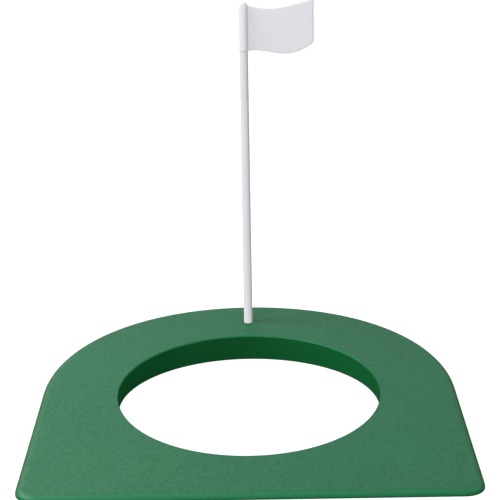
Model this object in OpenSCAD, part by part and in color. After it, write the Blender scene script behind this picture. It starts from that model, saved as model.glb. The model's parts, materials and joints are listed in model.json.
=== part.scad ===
// Putting cup: a sloped plate with a round cup hole, and a flag on a pole that lifts out of it.
// Millimetres, +Z up. The plate rests on Z = 0, its low front edge faces -Y, and the origin is
// the middle of its footprint on the floor.

/* [Plate] */
// Width of the plate, which is also the diameter of its round back
plate_w = 170; // [150:1:190]
// Depth of the plate from the front edge to the middle of the back
plate_d = 169.5; // [155:0.5:190]
// Height of the top face at the front edge
front_h = 2; // [1.6:0.1:3]
// Height of the top face at the back edge
back_h = 13.6; // [12:0.1:20]
// Plan radius of the two front corners
corner_r = 8; // [3:0.5:15]
// Radius that rounds the outer top edge
edge_r = 1.8; // [0.5:0.1:2.2]

/* [Shell] */
// Thickness of the top skin
skin_t = 2; // [1.5:0.1:2.5]
// Thickness of the outer skirt
skirt_t = 2; // [1.5:0.1:3]
// Thickness of the collar round the cup hole
collar_t = 2; // [1.5:0.1:3]
// Least depth at which the underside starts to be hollow
hollow_min = 0.6; // [0.4:0.1:2]
// Thickness of the ribs under the skin
rib_t = 1.6; // [1:0.1:2.5]
// Gap from the foot of each rib to the floor
rib_gap = 1; // [0.5:0.1:2]
// Angle between neighbouring ribs, measured round the cup hole
rib_step = 30; // [20:5:45]

/* [Cup hole] */
// Diameter of the cup hole
hole_d = 108; // [100:1:112]
// Distance of the hole's centre in front of the origin
hole_shift = 2.75; // [0:0.25:5]

/* [Pole socket] */
// Distance of the pole's axis behind the origin
pole_y = 66.5; // [65:0.25:69]
// Diameter of the boss that holds the socket
boss_d = 8; // [7:0.5:10]
// Radial clearance between each pin and its hole
fit_gap = 0.05; // [0.02:0.01:0.1]
// Thickness of the floor under the socket
socket_floor = 1.2; // [0.8:0.1:2]

/* [Pole] */
// Diameter of the pole's foot
foot_d = 3.85; // [3:0.05:5]
// Diameter of the pole under the flag
neck_d = 3.5; // [3.2:0.05:5]
// Height of the shoulder that the flag stands on
shoulder_z = 136.7; // [100:0.1:200]
// Diameter of the spigot that enters the flag
spigot_d = 2.3; // [1.8:0.1:2.6]
// Length of the spigot
spigot_l = 14; // [8:0.5:15]
// Chamfer at the ends of the pole
tip_chamfer = 0.4; // [0.2:0.1:0.6]

/* [Flag] */
// Outer diameter of the flag's sleeve
sleeve_d = 3.9; // [3.7:0.1:5]
// Height of the sleeve's domed tip above the pole's shoulder
flag_h = 20.7; // [18:0.1:30]
// Distance from the pole's axis to the flag's free edge
flag_reach = 30.2; // [20:0.1:45]
// Thickness of the flag's blade
flag_t = 1.2; // [0.8:0.1:2]
// Number of straight steps in each wavy edge
wave_steps = 32; // [16:1:60]

/* [Hidden] */

$fn = 96;
over = 1;
back_r = plate_w / 2;
front_y = -plate_d / 2;
back_y = plate_d / 2;
arc_y = back_y - back_r;
hole_y = -hole_shift;
hole_r = hole_d / 2;
rise = (back_h - front_h) / plate_d;
slope = atan(rise);
block_h = back_h + 2 * over;
front_lean = (front_h + over) * sin(slope);

socket_d = foot_d + 2 * fit_gap;
bore_d = spigot_d + 2 * fit_gap;
seat_gap = 0.1;
foot_z = socket_floor + seat_gap;
spigot_z = shoulder_z + spigot_l;
sleeve_z = shoulder_z + seat_gap;
bore_z = spigot_z + 3 * seat_gap;
taper_z = top_z(pole_y) + over;

// Heights above the shoulder: the flag's top edge is one low wave, and its lower edge is a
// wave on a rising line.
top_mid = flag_h - 0.58;
top_wave = 2.15;
top_node = 24;
top_len = 50.4;
low_start = -3.93;
low_rise = 0.287;
low_wave = 3.37;
low_node = 11.47;
low_len = 44.7;

// Height of the plate's top plane at a given Y
function top_z(y) = front_h + (y - front_y) * rise;
// Y at which the top plane reaches a given height
function y_at(z) = front_y + (z - front_h) / rise;
// Heights of the flag's two long edges above the shoulder, at a distance x from the pole's axis
function flag_top(x) = top_mid + top_wave * sin(360 * (x - top_node) / top_len);
function flag_low(x) = low_start + low_rise * x - low_wave * sin(360 * (x - low_node) / low_len);

// Outline of the plate in plan, drawn in by an inset
module footprint(inset = 0) {
    r = back_r - inset;
    c = corner_r - inset;
    intersection() {
        translate([0, arc_y]) circle(r = r, $fn = 180);
        translate([-r, arc_y]) square([2 * r, r]);
    }
    translate([-r, front_y + corner_r]) square([2 * r, arc_y - front_y - corner_r]);
    translate([corner_r - back_r, front_y + inset])
        square([2 * (back_r - corner_r), arc_y - front_y - inset]);
    for (side = [-1, 1])
        translate([side * (back_r - corner_r), front_y + corner_r]) circle(r = c);
}

// Moves its children into the frame of the sloped top plane, whose own Z = 0 is the top face
module on_slope() {
    translate([0, front_y, front_h]) rotate([slope, 0, 0]) children();
}

// Side view of a block below the top plane, cut off a given depth under it
module wedge(depth, low_z) {
    first_y = max(front_y - over, y_at(low_z + depth));
    last_y = back_y + over;
    rotate([90, 0, 90])
        translate([0, 0, -plate_w])
            linear_extrude(2 * plate_w)
                polygon([
                    [first_y, -over],
                    [last_y, -over],
                    [last_y, top_z(last_y) - depth],
                    [first_y, top_z(first_y) - depth]
                ]);
}

// Half of a wide slab's section, hanging below its top face, with a rounded upper corner
module slab_section(half_w) {
    translate([0, -block_h]) square([half_w, block_h - edge_r]);
    translate([0, -edge_r - over]) square([half_w - edge_r, edge_r + over]);
    translate([half_w - edge_r, -edge_r]) circle(r = edge_r);
}

// Slab under the top plane, rounded along its sides and its round back
module rounded_slab() {
    arc_s = (arc_y - front_y) / cos(slope);
    translate([0, arc_s, 0]) rotate_extrude($fn = 180) slab_section(back_r);
    for (side = [0, 1])
        translate([0, arc_s, 0])
            mirror([side, 0, 0])
                rotate([90, 0, 0])
                    linear_extrude(arc_s + over) slab_section(back_r);
}

// Slab under the top plane, rounded along its front edge only, that starts just before the
// upright front face
module front_rounding() {
    reach = plate_d + 2 * over;
    translate([0, -front_lean, 0])
        mirror([0, 1, 0])
            translate([0, -reach, 0])
                rotate([90, 0, 90])
                    translate([0, 0, -plate_w])
                        linear_extrude(2 * plate_w) slab_section(reach);
}

// Solid outer form of the plate, before the hole and the hollow are cut
module plate_form() {
    intersection() {
        linear_extrude(block_h) footprint();
        on_slope() rounded_slab();
        on_slope() front_rounding();
    }
}

// Radial ribs between the collar and the skirt, from one side round the back to the other
module ribs() {
    for (a = [0 : rib_step : 180])
        translate([0, hole_y, rib_gap])
            rotate([0, 0, a])
                translate([hole_r, -rib_t / 2, 0]) cube([plate_w / 2, rib_t, block_h]);
}

// Space under the skin, with the collar, the ribs and the socket boss left standing in it
module underside_hollow() {
    difference() {
        intersection() {
            translate([0, 0, -over]) linear_extrude(block_h) footprint(skirt_t);
            wedge(skin_t, hollow_min);
        }
        translate([0, hole_y, -2 * over]) cylinder(r = hole_r + collar_t, h = 2 * block_h, $fn = 180);
        ribs();
        translate([0, pole_y, 0]) cylinder(d = boss_d, h = block_h);
    }
}

module ramp_base() {
    color("seagreen")
        difference() {
            plate_form();
            underside_hollow();
            translate([0, hole_y, -over]) cylinder(r = hole_r, h = block_h + over, $fn = 180);
            translate([0, pole_y, socket_floor]) cylinder(d = socket_d, h = block_h);
        }
}

module flag_pole() {
    color("white")
        translate([0, pole_y, 0])
            rotate_extrude()
                polygon([
                    [0, foot_z],
                    [foot_d / 2 - tip_chamfer, foot_z],
                    [foot_d / 2, foot_z + tip_chamfer],
                    [foot_d / 2, taper_z],
                    [neck_d / 2, shoulder_z],
                    [spigot_d / 2, shoulder_z],
                    [spigot_d / 2, spigot_z - tip_chamfer],
                    [spigot_d / 2 - tip_chamfer, spigot_z],
                    [0, spigot_z]
                ]);
}

// Flat blade of the flag, from inside the sleeve to its free edge
module blade() {
    step = flag_reach / wave_steps;
    translate([0, flag_t / 2, shoulder_z])
        rotate([90, 0, 0])
            linear_extrude(flag_t)
                polygon(concat(
                    [for (i = [0 : wave_steps]) [i * step, flag_low(i * step)]],
                    [for (i = [wave_steps : -1 : 0]) [i * step, flag_top(i * step)]]
                ));
}

// Sleeve that slips over the spigot, with a domed tip
module sleeve() {
    dome_r = sleeve_d / 2;
    dome_z = shoulder_z + flag_h - dome_r;
    translate([0, 0, sleeve_z]) cylinder(r = dome_r, h = dome_z - sleeve_z);
    translate([0, 0, dome_z]) sphere(r = dome_r);
}

// Room for the top of the pole: the spigot's blind bore and the neck below the sleeve
module pole_room() {
    neck_room = neck_d + 4 * fit_gap;
    below = sleeve_z - spigot_l;
    translate([0, 0, below]) cylinder(d = bore_d, h = bore_z - below);
    translate([0, 0, below]) cylinder(d = neck_room, h = sleeve_z - below);
}

module flag() {
    color("white")
        translate([0, pole_y, 0])
            difference() {
                union() {
                    sleeve();
                    blade();
                }
                pole_room();
            }
}

ramp_base();
flag_pole();
flag();
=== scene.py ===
"""The looks of a putting cup: a moulded green plate, a white pole and its flag.

Lengths are metres in the CAD frame. Each piece is one closed mesh made here, and it replaces its CAD node.
"""
import json
import math

import bmesh
import bpy
from mathutils import Matrix, Vector


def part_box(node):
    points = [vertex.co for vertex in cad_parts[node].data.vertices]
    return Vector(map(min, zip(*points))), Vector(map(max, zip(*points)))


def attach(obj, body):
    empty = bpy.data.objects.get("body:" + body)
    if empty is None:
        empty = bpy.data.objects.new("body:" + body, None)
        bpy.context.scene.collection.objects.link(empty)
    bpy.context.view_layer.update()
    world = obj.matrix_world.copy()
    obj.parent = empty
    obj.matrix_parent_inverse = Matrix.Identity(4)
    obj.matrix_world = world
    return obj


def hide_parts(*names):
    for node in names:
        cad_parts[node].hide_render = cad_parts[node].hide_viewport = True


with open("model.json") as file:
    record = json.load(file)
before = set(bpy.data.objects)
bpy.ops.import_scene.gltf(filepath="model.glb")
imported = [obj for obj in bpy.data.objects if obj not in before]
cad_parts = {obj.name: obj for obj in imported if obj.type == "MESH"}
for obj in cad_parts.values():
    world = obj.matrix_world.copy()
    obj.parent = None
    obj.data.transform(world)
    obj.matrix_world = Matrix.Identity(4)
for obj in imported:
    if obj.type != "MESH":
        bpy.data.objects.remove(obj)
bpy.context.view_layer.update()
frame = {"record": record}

MM = 0.001

# The plate, from the frame. Its footprint is centred on the origin.
plate_low, plate_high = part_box("ramp_base")
front_y = plate_low.y
back_radius = (plate_high.x - plate_low.x) / 2
arc_y = -front_y - back_radius
cup = next(o for o in frame["record"]["physics"]["openings"] if o["name"] == "cup_hole")
hole_centre = (Vector(cup["box_m"][0]) + Vector(cup["box_m"][1])) / 2

# The plate's own sizes. The hole and the back's outline differ a little from the CAD's.
FRONT_HEIGHT = 2.0 * MM
BACK_HEIGHT = 13.6 * MM
CORNER_RADIUS = 8 * MM
BACK_FULLNESS = 0.98 * MM
HOLE_RADIUS = 53.68 * MM
# The hole's rim and the outer top edge are rounded; a reach is measured in plan and a drop along Z
RIM_REACH = 0.8 * MM
RIM_DROP = 0.8 * MM
EDGE_REACH = 3.2 * MM
EDGE_DROP = 1.8 * MM
FOOT_RADIUS = 0.15 * MM
# The hollow underside: it starts behind the solid front strip and is fully deep a little further back
SKIN = 2.0 * MM
SKIRT = 2.0 * MM
DRAFT = 0.5 * MM
HOLLOW_START = 6 * MM
HOLLOW_FULL = 11 * MM
RIB_THICK = 1.6 * MM
RIB_GAP = 1.0 * MM
RIB_STEP = 30
BOSS_RADIUS = 4 * MM
SOCKET_RADIUS = 1.975 * MM
SOCKET_FLOOR = 1.2 * MM
SOCKET_CHAMFER = 0.25 * MM
rise = (BACK_HEIGHT - FRONT_HEIGHT) / (-2 * front_y)

# The pole and the flag, from the frame
pole_low, pole_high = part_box("flag_pole")
flag_low, flag_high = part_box("flag")
pole_x = (pole_low.x + pole_high.x) / 2
pole_y = (pole_low.y + pole_high.y) / 2
foot_radius = (pole_high.x - pole_low.x) / 2
sleeve_radius = (flag_high.y - flag_low.y) / 2
NECK_RADIUS = 1.75 * MM
SPIGOT_RADIUS = 1.15 * MM
SPIGOT_LENGTH = 14 * MM
shoulder_z = pole_high.z - SPIGOT_LENGTH


def top_z(y):
    """Height of the plate's sloped top face at y."""
    return FRONT_HEIGHT + (y - front_y) * rise


def smooth_step(low, high, value):
    """0 below low, 1 above high, and an S-curve between."""
    t = min(1.0, max(0.0, (value - low) / (high - low)))
    return t * t * (3 - 2 * t)


def spread(count):
    """count + 1 even steps from 0 to 1."""
    return [k / count for k in range(count + 1)]


def grid_faces(bm, rows, closed_rows=False, closed_columns=False):
    """Quads between neighbouring rows of vertices."""
    last_row = len(rows) if closed_rows else len(rows) - 1
    width = len(rows[0])
    last_column = width if closed_columns else width - 1
    for r in range(last_row):
        upper, lower = rows[r], rows[(r + 1) % len(rows)]
        for c in range(last_column):
            d = (c + 1) % width
            bm.faces.new((upper[c], upper[d], lower[d], lower[c]))


def new_piece(name, bm):
    """An object from a finished bmesh, with its normals turned outwards."""
    bmesh.ops.recalc_face_normals(bm, faces=bm.faces)
    mesh = bpy.data.meshes.new(name)
    bm.to_mesh(mesh)
    bm.free()
    piece = bpy.data.objects.new(name, mesh)
    bpy.context.scene.collection.objects.link(piece)
    return piece


def revolve(bm, centre, profile, segments=96):
    """A closed turned form. The profile is (radius, z) from the bottom of the axis to the top of the axis."""
    bottom = bm.verts.new((centre[0], centre[1], profile[0][1]))
    top = bm.verts.new((centre[0], centre[1], profile[-1][1]))
    rings = []
    for radius, z in profile[1:-1]:
        ring = []
        for s in range(segments):
            turn = 2 * math.pi * s / segments
            r = radius(turn) if callable(radius) else radius
            ring.append(bm.verts.new((centre[0] + r * math.cos(turn), centre[1] + r * math.sin(turn), z)))
        rings.append(ring)
    grid_faces(bm, rings, closed_columns=True)
    for s in range(segments):
        nxt = (s + 1) % segments
        bm.faces.new((bottom, rings[0][nxt], rings[0][s]))
        bm.faces.new((top, rings[-1][s], rings[-1][nxt]))


def boolean(piece, tool, operation):
    """Joins a tool to a piece or cuts it out, and removes the tool."""
    step = piece.modifiers.new(operation, "BOOLEAN")
    step.operation = operation
    step.object = tool
    step.solver = "MANIFOLD"
    bpy.context.view_layer.update()
    made = bpy.data.meshes.new_from_object(piece.evaluated_get(bpy.context.evaluated_depsgraph_get()))
    piece.modifiers.clear()
    piece.data = made
    bpy.data.objects.remove(tool)


FLAT_FACE_WEIGHT = 90


def finish_shading(piece, sharp_angle=35):
    """Smooth faces with sharp edges over an angle, and flat areas kept flat."""
    bm = bmesh.new()
    bm.from_mesh(piece.data)
    bmesh.ops.dissolve_degenerate(bm, dist=1e-7, edges=bm.edges)
    for face in bm.faces:
        face.smooth = True
    for edge in bm.edges:
        edge.smooth = edge.calc_face_angle(0) < math.radians(sharp_angle)
    bm.to_mesh(piece.data)
    bm.free()
    weights = piece.modifiers.new("flat faces stay flat", "WEIGHTED_NORMAL")
    weights.keep_sharp = True
    weights.weight = FLAT_FACE_WEIGHT


# ---------------------------------------------------------------- plate

def back_reach(turn):
    """Radius of the plate's back at an angle: a half circle that is slightly fuller at the shoulders."""
    return back_radius + BACK_FULLNESS * math.sin(2 * turn) ** 2


def outline_samples():
    """Points round the plate's outline, anticlockwise from above, as (base, outward normal, radius).

    A point drawn in by an inset is base + normal * (radius - inset). A straight stretch has radius 0.
    """
    corner_x = back_radius - CORNER_RADIUS
    corner_y = front_y + CORNER_RADIUS
    samples = []

    def line(start, end, normal, count):
        for t in spread(count)[:-1]:
            samples.append((Vector(start).lerp(Vector(end), t), Vector(normal), 0.0))

    def arc(centre, radius, first, last, count):
        for t in spread(count)[:-1]:
            turn = math.radians(first + (last - first) * t)
            reach = radius(turn) if callable(radius) else radius
            samples.append((Vector(centre), Vector((math.cos(turn), math.sin(turn))), reach))

    line((-corner_x, front_y), (corner_x, front_y), (0, -1), 72)
    arc((corner_x, corner_y), CORNER_RADIUS, -90, 0, 10)
    line((back_radius, corner_y), (back_radius, arc_y), (1, 0), 36)
    arc((0, arc_y), back_reach, 0, 180, 140)
    line((-back_radius, arc_y), (-back_radius, corner_y), (-1, 0), 36)
    arc((-corner_x, corner_y), CORNER_RADIUS, 180, 270, 10)
    return samples


def edge_point(sample, inset):
    """The point of a sample drawn in by an inset, in plan."""
    base, normal, radius = sample
    return base + normal * (radius - inset)


def hole_point(sample, radius):
    """The point at a radius from the hole's centre, on the ray to the sample's place on the outline."""
    centre = hole_centre.xy
    return centre + (edge_point(sample, 0) - centre).normalized() * radius


def rim_size(y):
    """Share of the hole's rim rounding at y: full at the back, less where the plate is thinner."""
    return top_z(y) / top_z(hole_centre.y + HOLE_RADIUS)


def rim_point(sample, turn):
    """A point on the hole's rounded rim, in plan. The turn is 0 at the wall and 90 degrees at the top."""
    wall = hole_point(sample, HOLE_RADIUS)
    return hole_point(sample, HOLE_RADIUS + RIM_REACH * rim_size(wall.y) * (1 - math.cos(turn)))


def rim_z(y, turn):
    """Height of the hole's rounded rim at y."""
    return top_z(y) - RIM_DROP * rim_size(y) * (1 - math.sin(turn))


def ceiling_z(y):
    """Height of the hollow's ceiling: nothing under the thin front strip, then the skin's underside."""
    return max(0.0, top_z(y) - SKIN) * smooth_step(front_y + HOLLOW_START, front_y + HOLLOW_FULL, y)


def shell_rows(samples):
    """Rows of points from the foot of the hole's wall, over the top, and back under the plate."""
    rows = []

    def add(place, height):
        row = []
        for sample in samples:
            p = place(sample)
            row.append(Vector((p.x, p.y, height(p.y))))
        rows.append(row)

    def at_hole(radius):
        return lambda sample: hole_point(sample, radius)

    def at_edge(inset):
        return lambda sample: edge_point(sample, inset)

    def between(share, radius, inset):
        return lambda sample: hole_point(sample, radius).lerp(edge_point(sample, inset), share)

    for t in spread(6):
        add(at_hole(HOLE_RADIUS), lambda y, t=t: FOOT_RADIUS + (rim_z(y, 0) - FOOT_RADIUS) * t)
    for t in spread(9)[1:]:
        turn = t * math.pi / 2
        add(lambda sample, turn=turn: rim_point(sample, turn), lambda y, turn=turn: rim_z(y, turn))
    inner = HOLE_RADIUS + RIM_REACH * 1.3
    outer = EDGE_REACH * 1.06
    for t in spread(16):
        add(between(t, inner, outer), top_z)
    for t in spread(12):
        turn = t * math.pi / 2
        drop = EDGE_DROP * (1 - math.cos(turn))
        add(at_edge(EDGE_REACH * (1 - math.sin(turn))), lambda y, drop=drop: top_z(y) - drop)
    for t in (0.35, 0.7, 1.0):
        add(at_edge(0), lambda y, t=t: (top_z(y) - EDGE_DROP) * (1 - t) + FOOT_RADIUS * t)
    add(at_edge(FOOT_RADIUS * 0.3), lambda y: FOOT_RADIUS * 0.3)
    add(at_edge(FOOT_RADIUS), lambda y: 0.0)
    for t in spread(6):
        add(at_edge(SKIRT + DRAFT * t), lambda y, t=t: ceiling_z(y) * t)
    for t in spread(14):
        add(between(1 - t, HOLE_RADIUS + SKIRT + DRAFT * 1.5, SKIRT + DRAFT * 1.5), ceiling_z)
    for t in spread(6):
        add(at_hole(HOLE_RADIUS + SKIRT + DRAFT * (1 - t)), lambda y, t=t: ceiling_z(y) * (1 - t))
    add(at_hole(HOLE_RADIUS + FOOT_RADIUS), lambda y: 0.0)
    return rows


def rib_end(direction):
    """Distance from the hole's centre to the middle of the skirt, along a direction."""
    reach = HOLE_RADIUS
    centre = hole_centre.xy
    while True:
        p = centre + direction * reach
        from_arc = p - Vector((0, arc_y))
        if p.y > arc_y:
            outside = from_arc.length > back_reach(math.atan2(from_arc.y, from_arc.x)) - SKIRT / 2
        else:
            outside = abs(p.x) > back_radius - SKIRT / 2
        if outside:
            return reach
        reach += 0.05 * MM


def add_rib(bm, angle):
    """One upright rib from the collar to the skirt, whose upper edge lies inside the sloped skin."""
    turn = math.radians(angle)
    along = Vector((math.cos(turn), math.sin(turn)))
    across = Vector((-along.y, along.x)) * RIB_THICK / 2
    ends = [hole_centre.xy + along * (HOLE_RADIUS + SKIRT / 2), hole_centre.xy + along * rib_end(along)]
    loops = []
    for end in ends:
        high = top_z(end.y) - SKIN / 2
        left, right = end - across, end + across
        corners = [(left, RIB_GAP), (right, RIB_GAP), (right, high), (left, high)]
        loops.append([bm.verts.new((p.x, p.y, z)) for p, z in corners])
    grid_faces(bm, loops, closed_columns=True)
    bm.faces.new(loops[0])
    bm.faces.new(list(reversed(loops[1])))


def make_plate():
    """The whole plate as one closed mesh, with its ribs and the socket that takes the pole."""
    bm = bmesh.new()
    rows = [[bm.verts.new(p) for p in row] for row in shell_rows(outline_samples())]
    grid_faces(bm, rows, closed_rows=True, closed_columns=True)
    plate = new_piece("plate_shell", bm)

    bm = bmesh.new()
    for angle in range(0, 181, RIB_STEP):
        add_rib(bm, angle)
    boolean(plate, new_piece("ribs", bm), "UNION")

    bm = bmesh.new()
    boss_top = top_z(pole_y) - SKIN / 2
    revolve(bm, (pole_x, pole_y), [(0, 0), (BOSS_RADIUS, 0), (BOSS_RADIUS, boss_top), (0, boss_top)])
    boolean(plate, new_piece("boss", bm), "UNION")

    bm = bmesh.new()
    mouth = top_z(pole_y)
    above = mouth + 2 * MM
    wide = SOCKET_RADIUS + SOCKET_CHAMFER
    revolve(bm, (pole_x, pole_y), [
        (0, SOCKET_FLOOR), (SOCKET_RADIUS, SOCKET_FLOOR), (SOCKET_RADIUS, mouth - SOCKET_CHAMFER),
        (wide, mouth), (wide + 2 * MM, above), (0, above),
    ])
    boolean(plate, new_piece("socket", bm), "DIFFERENCE")
    finish_shading(plate)
    return plate


# ---------------------------------------------------------------- pole

POLE_CHAMFER = 0.4 * MM
SHOULDER_CHAMFER = 0.15 * MM
LINE_HEIGHT = 0.03 * MM
LINE_WIDTH = 0.12 * MM


def ridged(radius, share):
    """Radius at an angle round the pole, with a share of the moulding line on its left and right sides."""
    def reach(turn):
        aside = math.sin(turn) * radius / LINE_WIDTH
        return radius + LINE_HEIGHT * share * math.exp(-aside ** 2)
    return reach


def make_pole():
    """A tapered rod with a fine moulding line down both sides, a chamfered foot and a thin spigot."""
    taper_z = top_z(pole_y) + 1 * MM
    chamfer = POLE_CHAMFER
    profile = [(0, pole_low.z), (foot_radius - chamfer, pole_low.z), (foot_radius, pole_low.z + chamfer)]
    profile += [(foot_radius, taper_z)]
    for t in spread(24)[1:-1]:
        radius = foot_radius + (NECK_RADIUS - foot_radius) * t
        z = taper_z + (shoulder_z - taper_z) * t
        profile.append((ridged(radius, smooth_step(0, 0.05, t)), z))
    profile += [(NECK_RADIUS, shoulder_z - SHOULDER_CHAMFER), (NECK_RADIUS - SHOULDER_CHAMFER, shoulder_z)]
    profile += [(SPIGOT_RADIUS, shoulder_z), (SPIGOT_RADIUS, pole_high.z - chamfer)]
    profile += [(SPIGOT_RADIUS - chamfer, pole_high.z), (0, pole_high.z)]
    bm = bmesh.new()
    revolve(bm, (pole_x, pole_y), profile, 144)
    pole = new_piece("pole_rod", bm)
    finish_shading(pole)
    return pole


# ---------------------------------------------------------------- flag

flag_reach = flag_high.x - pole_x
# Height of the domed tip above the shoulder, and how far its highest point leans away from the blade
TIP_HEIGHT = 21.0 * MM
TIP_SHIFT = 0.35 * MM
TIP_BLEND = 0.35 * MM
BLADE_THICK = 1.2 * MM
BLADE_EDGE = 0.4 * MM
FILLET = 1.1 * MM
FREE_CORNER = 0.9 * MM
TOP_CORNER = FREE_CORNER * 0.6
# Clearances from the pole: under the sleeve, round the spigot, above it, and round the neck
SLEEVE_GAP = 0.1 * MM
BORE_GAP = 0.05 * MM
BORE_HEADROOM = 0.3 * MM
NECK_GAP = 0.1 * MM


def wave(x, middle, slope, swing, node, length):
    """A wave on a sloped line; every argument is in millimetres."""
    return (middle + slope * x + swing * math.sin(2 * math.pi * (x - node) / length)) * MM


def blade_top(x):
    """Height of the blade's upper edge above the shoulder."""
    return wave(x / MM, 20.12, 0, 2.15, 24, 50.4)


def blade_bottom(x):
    """Height of the blade's lower edge above the shoulder."""
    return wave(x / MM, -3.93, 0.287, -3.37, 11.47, 44.7)


def corner_drop(x, radius):
    """How far a rounded free corner pulls an edge in, close to the free end."""
    into = max(0.0, x - (flag_reach - radius))
    return radius - math.sqrt(max(0.0, radius * radius - into * into))


def half_width(x):
    """Half of the flag's thickness in plan: the round sleeve, a fillet, the flat blade and its free end."""
    half = BLADE_THICK / 2
    fillet_x = math.sqrt((sleeve_radius + FILLET) ** 2 - (half + FILLET) ** 2)
    touch_x = fillet_x * sleeve_radius / (sleeve_radius + FILLET)
    if x < touch_x:
        return math.sqrt(max(0.0, sleeve_radius ** 2 - x * x))
    if x < fillet_x:
        return half + FILLET - math.sqrt(FILLET ** 2 - (fillet_x - x) ** 2)
    into = max(0.0, x - (flag_reach - half))
    return math.sqrt(max(0.0, half * half - into * into))


def edge_drop(x, y):
    """How far a long edge of the blade is rounded off at a distance y from its middle plane."""
    into = max(0.0, abs(y) - (half_width(x) - BLADE_EDGE))
    return BLADE_EDGE - math.sqrt(max(0.0, BLADE_EDGE ** 2 - into * into))


def flag_upper(x, y):
    """Height of the flag's upper surface above the shoulder: the blade's edge blended with the domed tip."""
    blade = blade_top(x) - corner_drop(x, TOP_CORNER) - edge_drop(x, y)
    reach = math.hypot(x, y)
    if reach > sleeve_radius + 2 * TIP_BLEND:
        return blade
    shift = TIP_SHIFT * max(0.0, 1 - (reach / sleeve_radius) ** 2)
    reach = math.hypot(x + shift, y)
    dome = TIP_HEIGHT - sleeve_radius + math.sqrt(max(0.0, sleeve_radius ** 2 - reach ** 2))
    if x <= 0:
        return dome
    gap = dome - blade
    return blade + (gap + math.sqrt(gap * gap + TIP_BLEND ** 2)) / 2


def flag_lower(x, y):
    """Height of the flag's lower surface above the shoulder: the sleeve's flat end, then the blade's edge."""
    blade = blade_bottom(x) + corner_drop(x, FREE_CORNER) + edge_drop(x, y)
    share = smooth_step(sleeve_radius * 0.8, sleeve_radius * 1.4, x)
    return SLEEVE_GAP + (blade - SLEEVE_GAP) * share


def flag_stations():
    """Places along the flag, closer together round the sleeve and at the free end."""
    rounds = [-sleeve_radius * math.cos(math.pi * t / 2) for t in spread(14)[1:]]
    near = [sleeve_radius * 1.6 * t for t in spread(16)[1:]]
    end = flag_reach - FREE_CORNER
    flat = [near[-1] + (end - near[-1]) * t for t in spread(36)[1:]]
    tail = [end + FREE_CORNER * math.sin(math.pi / 2 * t) for t in spread(10)[1:-1]]
    return rounds + near + flat + tail


def make_flag():
    """Flag and sleeve as one closed mesh: an upper and a lower surface joined by a wall."""
    across = [math.sin(math.pi / 2 * (2 * t - 1)) for t in spread(16)]
    levels = spread(10)
    bm = bmesh.new()
    sections = []
    for x in flag_stations():
        half = half_width(x)
        upper = [Vector((x, half * a, flag_upper(x, half * a))) for a in across]
        lower = [Vector((x, half * a, flag_lower(x, half * a))) for a in across]
        left = [lower[0].lerp(upper[0], t) for t in levels[1:-1]]
        right = [upper[-1].lerp(lower[-1], t) for t in levels[1:-1]]
        sections.append(upper + right + list(reversed(lower)) + left)
    place = Vector((pole_x, pole_y, shoulder_z))
    loops = [[bm.verts.new(place + p) for p in section] for section in sections]
    grid_faces(bm, loops, closed_columns=True)
    for loop, x in ((loops[0], -sleeve_radius), (loops[-1], flag_reach)):
        close_end(bm, loop, place, x, len(across), len(levels))
    flag = new_piece("flag_blade", bm)

    room = bmesh.new()
    bore_radius = SPIGOT_RADIUS + BORE_GAP
    neck_room = NECK_RADIUS + NECK_GAP
    below = shoulder_z - 6 * MM
    sleeve_foot = shoulder_z + SLEEVE_GAP
    bore_top = pole_high.z + BORE_HEADROOM
    revolve(room, (pole_x, pole_y), [
        (0, below), (neck_room, below), (neck_room, sleeve_foot),
        (bore_radius, sleeve_foot), (bore_radius, bore_top), (0, bore_top),
    ])
    boolean(flag, new_piece("pole_room", room), "DIFFERENCE")
    finish_shading(flag, 40)
    return flag


def close_end(bm, loop, place, x, across, levels):
    """Closes one end of the flag with a column of points on the middle plane."""
    upper, right = loop[:across], loop[across:across + levels - 2]
    lower = list(reversed(loop[across + levels - 2:2 * across + levels - 2]))
    left = loop[2 * across + levels - 2:]
    side_a = [lower[0]] + left + [upper[0]]
    side_b = [lower[-1]] + list(reversed(right)) + [upper[-1]]
    column = []
    for a, b in zip(side_a, side_b):
        z = (a.co.z + b.co.z) / 2
        column.append(bm.verts.new((place.x + x, place.y, z)))
    for k in range(len(column) - 1):
        bm.faces.new((side_a[k], side_a[k + 1], column[k + 1], column[k]))
        bm.faces.new((column[k], column[k + 1], side_b[k + 1], side_b[k]))
    for row, point in ((upper, column[-1]), (lower, column[0])):
        for k in range(len(row) - 1):
            bm.faces.new((row[k], row[k + 1], point))


# ---------------------------------------------------------------- materials

def new_material(name):
    """An empty node material and its tree."""
    material = bpy.data.materials.new(name)
    material.use_nodes = True
    tree = material.node_tree
    tree.nodes.clear()
    return material, tree


def add_node(tree, kind, inputs=None, **settings):
    """A node with settings; an input is either a plain value or another node's output."""
    node = tree.nodes.new(kind)
    for key, value in settings.items():
        setattr(node, key, value)
    for key, value in (inputs or {}).items():
        if isinstance(value, bpy.types.NodeSocket):
            tree.links.new(value, node.inputs[key])
        else:
            node.inputs[key].default_value = value
    return node


def noise(tree, place, scale, detail=3.0, roughness=0.5):
    """Soft noise from 0 to 1, where a larger scale is finer."""
    return add_node(tree, "ShaderNodeTexNoise", {
        "Vector": place, "Scale": scale, "Detail": detail, "Roughness": roughness}).outputs["Fac"]


def remap(tree, value, low, high, to_low, to_high):
    """A value moved from one range to another, and held at its ends."""
    return add_node(tree, "ShaderNodeMapRange", {
        "Value": value, "From Min": low, "From Max": high,
        "To Min": to_low, "To Max": to_high}).outputs["Result"]


def math_node(tree, operation, *values):
    """The result of one sum on plain values or other nodes' outputs."""
    return add_node(tree, "ShaderNodeMath", dict(enumerate(values)), operation=operation).outputs[0]


def dot(tree, way, direction):
    """Cosine of the angle between a node's output and a fixed direction."""
    node = add_node(tree, "ShaderNodeVectorMath", {0: way, 1: direction}, operation="DOT_PRODUCT")
    return node.outputs["Value"]


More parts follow.
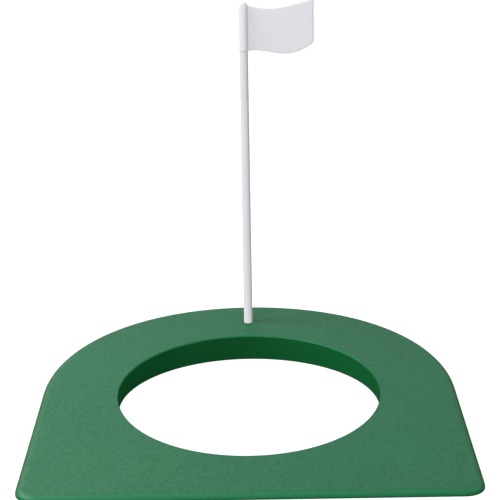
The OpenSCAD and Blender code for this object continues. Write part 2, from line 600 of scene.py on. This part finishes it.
def blend_colours(tree, share, a, b):
    """Colour a at a share of 0 and colour b at a share of 1; each is a plain colour or a node's output."""
    node = add_node(tree, "ShaderNodeMix", {"Factor": share}, data_type="RGBA")
    for index, colour in ((6, a), (7, b)):
        if isinstance(colour, bpy.types.NodeSocket):
            tree.links.new(colour, node.inputs[index])
        else:
            node.inputs[index].default_value = (*colour, 1)
    return node.outputs[2]


def object_place(tree):
    """The shaded point in its piece's own coordinates."""
    return add_node(tree, "ShaderNodeTexCoord").outputs["Object"]


def finish_material(tree, shader):
    """Links a shader to the material's output."""
    out = tree.nodes.new("ShaderNodeOutputMaterial")
    tree.links.new(shader.outputs[0], out.inputs["Surface"])


# Linear colours of the green: two tones of the bare plastic, a bluish painted sheen (the sky's reflection)
# and a pale dust over the grained top, and a painted highlight on the rounded edges that face the player
GREEN_DEEP = (0.0042, 0.084, 0.0195)
GREEN_FULL = (0.005, 0.093, 0.0235)
# Painted sheen colour: the bluish sky's reflection on the grained top
GREEN_PAINTED_SHEEN = (0.006, 0.109, 0.091)
GREEN_DUST = (0.012, 0.126, 0.056)
# Painted highlight colour for the rounded edges that face -Y
GREEN_PAINTED_HIGHLIGHT = (0.0085, 0.129, 0.047)
# Share of the painted sheen, a reflection of the bluish sky, mixed into the top's colour
PAINTED_SHEEN_SHARE = 0.2

# Noise scales of the green, where a larger scale is finer
DRIFT_SCALE = 22
PATCH_SCALE = 60
PEEL_SCALE = 350
SPECKLE_SCALE = 680
GRAIN_SCALE = 3200


def green_plastic():
    """Green moulded plastic: a matt grain on the top face, and satin walls and rounded edges."""
    material, tree = new_material("green_moulded_plastic")
    place = object_place(tree)
    normal = add_node(tree, "ShaderNodeNewGeometry").outputs["Normal"]
    slope = math.atan(rise)

    # Masks by the way a surface faces: the sloped top, all but the walls, and the roundings towards -Y, which
    # get a painted highlight
    facing = dot(tree, normal, (0, -math.sin(slope), math.cos(slope)))
    grained = remap(tree, facing, 0.975, 0.999, 0, 1)
    outer = remap(tree, facing, 0.1, 0.4, 0, 1)
    forward = dot(tree, normal, (0, -1, 0))
    painted_highlight_mask = math_node(tree, "MULTIPLY", outer, remap(tree, forward, 0.05, 0.4, 0, 1))

    drift = noise(tree, place, DRIFT_SCALE, 2)
    drawn_out = add_node(tree, "ShaderNodeMapping", {"Vector": place, "Scale": (1, 0.6, 1)})
    speckle = noise(tree, drawn_out.outputs["Vector"], SPECKLE_SCALE, 4)
    base = blend_colours(tree, remap(tree, drift, 0.3, 0.7, 0, 1), GREEN_DEEP, GREEN_FULL)
    # Painted sheen: a bluish reflection of the sky mixed into the grained top's colour, with pale dust
    # speckles over it
    painted_sheen_top = blend_colours(tree, PAINTED_SHEEN_SHARE, base, GREEN_PAINTED_SHEEN)
    dust_and_painted_sheen = blend_colours(tree, remap(tree, speckle, 0.35, 0.7, 0, 0.5), painted_sheen_top, GREEN_DUST)
    # Painted highlight: roundings that face -Y are made a lighter green, as if lit from the front
    painted_highlight_edges = blend_colours(tree, painted_highlight_mask, base, GREEN_PAINTED_HIGHLIGHT)
    colour = blend_colours(tree, grained, painted_highlight_edges, dust_and_painted_sheen)

    patches = noise(tree, place, PATCH_SCALE, 3)
    satin = remap(tree, patches, 0.3, 0.7, 0.30, 0.36)
    matt = remap(tree, patches, 0.3, 0.7, 0.47, 0.53)
    rough = add_node(tree, "ShaderNodeMix", {"Factor": outer, "A": satin, "B": matt}).outputs[0]

    # The top shines most, the roundings less, and those that face sideways least
    sideways = math_node(tree, "ABSOLUTE", add_node(tree, "ShaderNodeSeparateXYZ", {0: normal}).outputs["X"])
    sideways = math_node(tree, "MULTIPLY_ADD", forward, -0.5, sideways)
    front_shine = remap(tree, facing, 0.78, 0.99, 0.15, 0.5)
    side_shine = remap(tree, facing, 0.88, 0.995, 0.08, 0.5)
    shine = add_node(tree, "ShaderNodeMix", {
        "Factor": remap(tree, sideways, 0.05, 0.3, 0, 1), "A": front_shine, "B": side_shine}).outputs[0]
    shine = math_node(tree, "MULTIPLY", shine, remap(tree, speckle, 0.3, 0.7, 0.9, 1.1))

    grain = noise(tree, place, GRAIN_SCALE, 3, 0.6)
    peel = noise(tree, place, PEEL_SCALE, 2)
    fine = add_node(tree, "ShaderNodeBump", {"Strength": 0.25, "Distance": 0.00005, "Height": peel})
    strength = remap(tree, grained, 0, 1, 0.05, 0.45)
    bump = add_node(tree, "ShaderNodeBump", {
        "Strength": strength, "Distance": 0.00006, "Height": grain, "Normal": fine.outputs["Normal"]})
    shader = add_node(tree, "ShaderNodeBsdfPrincipled", {
        "Base Color": colour, "Roughness": rough, "IOR": 1.5, "Normal": bump.outputs["Normal"],
        "Specular IOR Level": shine})
    finish_material(tree, shader)
    return material


POLE_WHITE = (0.75, 0.74, 0.768)
FLAG_WHITE = (0.79, 0.78, 0.815)
MILKINESS = 0.7
FLOW_MARK = 0.98


def white_plastic(name, tint):
    """White moulded plastic, satin and milky, with faint flow marks along Z.

    The milkiness is the normal eased towards the eye, so that light seems to reach round a thin section.
    """
    material, tree = new_material(name)
    place = object_place(tree)
    stretched = add_node(tree, "ShaderNodeMapping", {"Vector": place, "Scale": (1, 1, 0.12)})
    flow = noise(tree, stretched.outputs["Vector"], 420, 3)
    darker = tuple(c * FLOW_MARK for c in tint)
    colour = blend_colours(tree, remap(tree, flow, 0.35, 0.65, 0, 1), tint, darker)
    rough = remap(tree, noise(tree, place, 500, 2), 0.3, 0.7, 0.34, 0.44)
    peel = noise(tree, place, 1500, 3)
    surface = add_node(tree, "ShaderNodeNewGeometry")
    eased = add_node(tree, "ShaderNodeMix", {"Factor": MILKINESS}, data_type="VECTOR")
    tree.links.new(surface.outputs["Normal"], eased.inputs[4])
    tree.links.new(surface.outputs["Incoming"], eased.inputs[5])
    soft = add_node(tree, "ShaderNodeVectorMath", {0: eased.outputs[1]}, operation="NORMALIZE").outputs[0]
    bump = add_node(tree, "ShaderNodeBump", {
        "Strength": 0.2, "Distance": 0.00003, "Height": peel, "Normal": soft})
    shader = add_node(tree, "ShaderNodeBsdfPrincipled", {
        "Base Color": colour, "Roughness": rough, "IOR": 1.49, "Normal": bump.outputs["Normal"]})
    finish_material(tree, shader)
    return material


# ---------------------------------------------------------------- stage

def floor_material():
    """Pale floor: white to a camera above it, clear to one below it and to shadow rays, dark to the rest."""
    material, tree = new_material("pale_floor")
    path = add_node(tree, "ShaderNodeLightPath")
    to_eye = add_node(tree, "ShaderNodeNewGeometry").outputs["Incoming"]
    below = math_node(tree, "LESS_THAN", dot(tree, to_eye, (0, 0, 1)), 0.0)
    lit = add_node(tree, "ShaderNodeBsdfDiffuse", {"Color": (0.8, 0.8, 0.8, 1)})
    glow = add_node(tree, "ShaderNodeEmission", {"Color": (1, 1, 1, 1), "Strength": 1.25})
    pale = add_node(tree, "ShaderNodeMixShader", {"Fac": 0.8, 1: lit.outputs[0], 2: glow.outputs[0]})
    dim = add_node(tree, "ShaderNodeBsdfDiffuse", {"Color": (0.03, 0.03, 0.03, 1)})
    clear = add_node(tree, "ShaderNodeBsdfTransparent")
    sight = add_node(tree, "ShaderNodeMixShader", {"Fac": below, 1: pale.outputs[0], 2: clear.outputs[0]})
    both = add_node(tree, "ShaderNodeMixShader", {
        "Fac": path.outputs["Is Camera Ray"], 1: dim.outputs[0], 2: sight.outputs[0]})
    passing = add_node(tree, "ShaderNodeMixShader", {
        "Fac": path.outputs["Is Shadow Ray"], 1: both.outputs[0], 2: clear.outputs[0]})
    finish_material(tree, passing)
    return material


FLOOR_HALF = 4.0
FLOOR_STEPS = 8
FLOOR_Z = -0.05 * MM


def make_floor():
    """A wide plain floor just under the plate."""
    bm = bmesh.new()
    places = [FLOOR_HALF * (2 * t - 1) for t in spread(FLOOR_STEPS)]
    rows = [[bm.verts.new((x, y, FLOOR_Z)) for y in places] for x in places]
    grid_faces(bm, rows)
    floor = new_piece("floor", bm)
    floor.data.materials.append(floor_material())


# Soft light from far away: (direction it comes from, width as a power of the cosine, strength)
SKY_LIGHTS = (
    ((-0.6, 0.72, 0.34), 6, 1.53),
    ((0.6, 0.72, 0.34), 6, 0.59),
    ((1.0, 0.0, 0.35), 3, 1.18),
    ((0.0, -1.0, 0.4), 3, 0.46),
    ((0.5, -0.5, 0.7), 6, 0.68),
)


def make_world():
    """White to the camera; to every other ray a dark room with soft light from the back, right and front."""
    world = bpy.data.worlds.new("studio")
    world.use_nodes = True
    bpy.context.scene.world = world
    tree = world.node_tree
    tree.nodes.clear()
    way = add_node(tree, "ShaderNodeTexCoord").outputs["Generated"]
    total = 0.0
    for source, width, strength in SKY_LIGHTS:
        facing = dot(tree, way, Vector(source).normalized())
        lobe = math_node(tree, "POWER", math_node(tree, "MAXIMUM", facing, 0.0), width)
        total = math_node(tree, "MULTIPLY_ADD", lobe, strength, total)
    soft = add_node(tree, "ShaderNodeBackground", {"Color": (1, 1, 1, 1), "Strength": total})
    white = add_node(tree, "ShaderNodeBackground", {"Color": (1, 1, 1, 1), "Strength": 1.0})
    seen = add_node(tree, "ShaderNodeLightPath").outputs["Is Camera Ray"]
    both = add_node(tree, "ShaderNodeMixShader", {"Fac": seen, 1: soft.outputs[0], 2: white.outputs[0]})
    out = tree.nodes.new("ShaderNodeOutputWorld")
    tree.links.new(both.outputs[0], out.inputs["Surface"])


LAMP_AIM = Vector((0, 0, 0))

# Round lamps: (name, place, diameter, watts, colour)
SOFTBOXES = (
    ("left", (-0.48, 0.03, 0.45), 0.35, 3.7, (0.97, 1, 1.12)),
    ("front_left", (-0.4, -0.45, 0.5), 0.35, 3.95, (1, 1, 1)),
    ("underneath", (0, 0, -1.6), 0.8, 15, (1, 1, 1)),
)


def add_softbox(name, place, size, power, colour):
    """One round lamp that faces the middle of the plate."""
    light = bpy.data.lights.new(name, "AREA")
    light.shape = "DISK"
    light.size = size
    light.energy = power
    light.color = colour
    lamp = bpy.data.objects.new(name, light)
    lamp.location = place
    lamp.rotation_euler = (LAMP_AIM - Vector(place)).to_track_quat("-Z", "Y").to_euler()
    bpy.context.scene.collection.objects.link(lamp)


# The view: a point close to the pole's axis, seen from the front and a little above
AIM_HEIGHT = 46.60 * MM
AIM_RIGHT = 1.31 * MM
CAMERA_DISTANCE = 623.1 * MM
CAMERA_PITCH = math.radians(17.166)
CAMERA_YAW = math.radians(-0.040)
CAMERA_ROLL = math.radians(-0.945)
CAMERA_LENS = 99.46
SENSOR_WIDTH = 36


def make_camera():
    """A long lens that looks down at the cup from the front, tilted by a small roll."""
    ahead = Vector((
        math.sin(CAMERA_YAW) * math.cos(CAMERA_PITCH),
        math.cos(CAMERA_YAW) * math.cos(CAMERA_PITCH),
        -math.sin(CAMERA_PITCH)))
    level = Vector((math.cos(CAMERA_YAW), -math.sin(CAMERA_YAW), 0))
    upright = level.cross(ahead)
    right = level * math.cos(CAMERA_ROLL) + upright * math.sin(CAMERA_ROLL)
    up = upright * math.cos(CAMERA_ROLL) - level * math.sin(CAMERA_ROLL)
    data = bpy.data.cameras.new("camera")
    data.sensor_width = SENSOR_WIDTH
    data.lens = CAMERA_LENS
    camera = bpy.data.objects.new("camera", data)
    aim = Vector((pole_x + AIM_RIGHT, pole_y, AIM_HEIGHT))
    turn = Matrix((right, up, -ahead)).transposed().to_4x4()
    camera.matrix_world = Matrix.Translation(aim - ahead * CAMERA_DISTANCE) @ turn
    bpy.context.scene.collection.objects.link(camera)
    bpy.context.scene.camera = camera


def dress(piece, material, body, node):
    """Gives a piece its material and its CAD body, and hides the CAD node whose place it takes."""
    piece.data.materials.clear()
    piece.data.materials.append(material)
    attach(piece, body)
    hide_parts(node)


dress(make_plate(), green_plastic(), "plate", "ramp_base")
dress(make_pole(), white_plastic("pole_plastic", POLE_WHITE), "pole", "flag_pole")
dress(make_flag(), white_plastic("flag_plastic", FLAG_WHITE), "flag", "flag")
make_floor()
make_world()
for softbox in SOFTBOXES:
    add_softbox(*softbox)
make_camera()
bpy.context.scene.view_settings.view_transform = "Standard"
